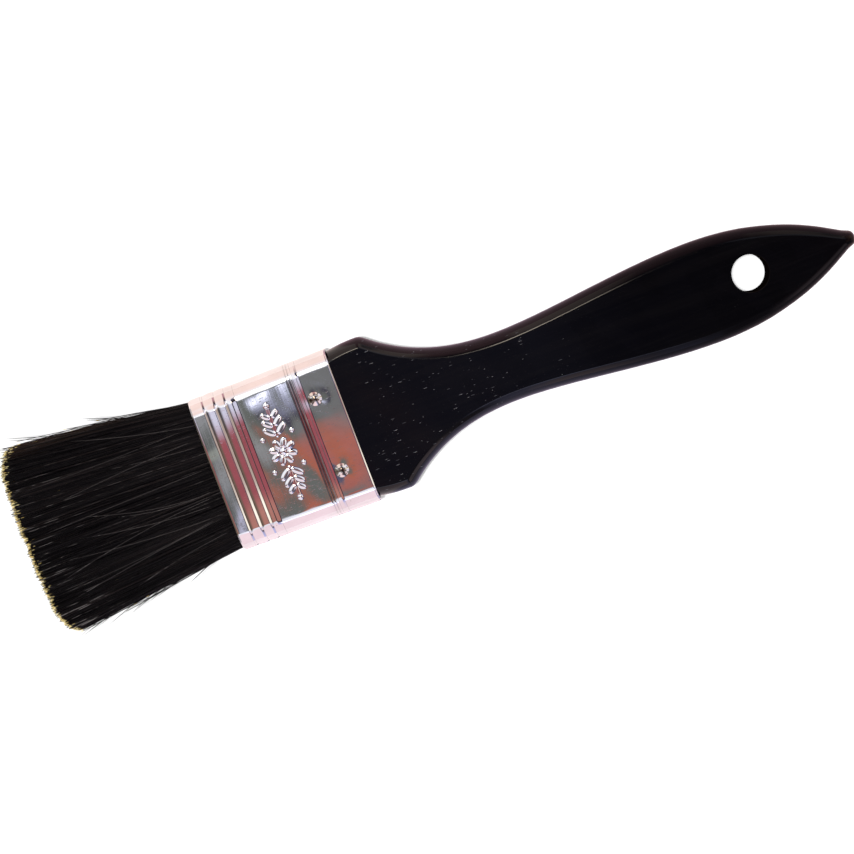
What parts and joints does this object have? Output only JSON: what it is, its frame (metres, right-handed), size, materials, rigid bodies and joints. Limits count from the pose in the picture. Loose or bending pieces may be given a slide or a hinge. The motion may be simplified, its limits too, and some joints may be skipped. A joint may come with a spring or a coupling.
{
  "type": "flat paint brush",
  "caption": "Flat paint brush: waisted black wooden handle with a hang hole, beaded tinplate ferrule, domed nails, and a black bristle pack that bends at the ferrule's mouth.",
  "frame": {"origin": "centre of the ferrule's rear flat panel, the face the brush lies on", "axes": "+X from the ferrule along the handle to its tail, +Y across the brush's width, +Z out of the front face"},
  "size_m": [0.2119, 0.0466, 0.0124],
  "materials": {
    "black_lacquer": "glossy black lacquer over turned hardwood",
    "tinplate": "bright tinplate",
    "bright_nail": "bright plated steel",
    "bare_wood": "unfinished softwood",
    "setting_resin": "cured amber resin",
    "black_bristle": "natural black bristle with pale flagged tips"
  },
  "bodies": {
    "brush_body": {"handle": "black_lacquer", "ferrule": "tinplate", "nail_front_left": "bright_nail", "nail_front_right": "bright_nail", "nail_rear_left": "bright_nail", "nail_rear_right": "bright_nail", "filler_plug": "bare_wood", "bristle_setting": "setting_resin", "bristle_roots_front": "black_bristle", "bristle_roots_rear": "black_bristle"},
    "bristle_pack": {"bristle_bank_front": "black_bristle", "bristle_bank_rear": "black_bristle"}
  },
  "joints": [
    {"name": "bristle_flex", "type": "hinge", "parent": "brush_body", "child": "bristle_pack", "pos_m": [-0.0174, 0, 0.0052], "axis": [0, 1, 0], "range_deg": [-35, 35], "stiffness_Nm_per_rad": 0.1}
  ]
}
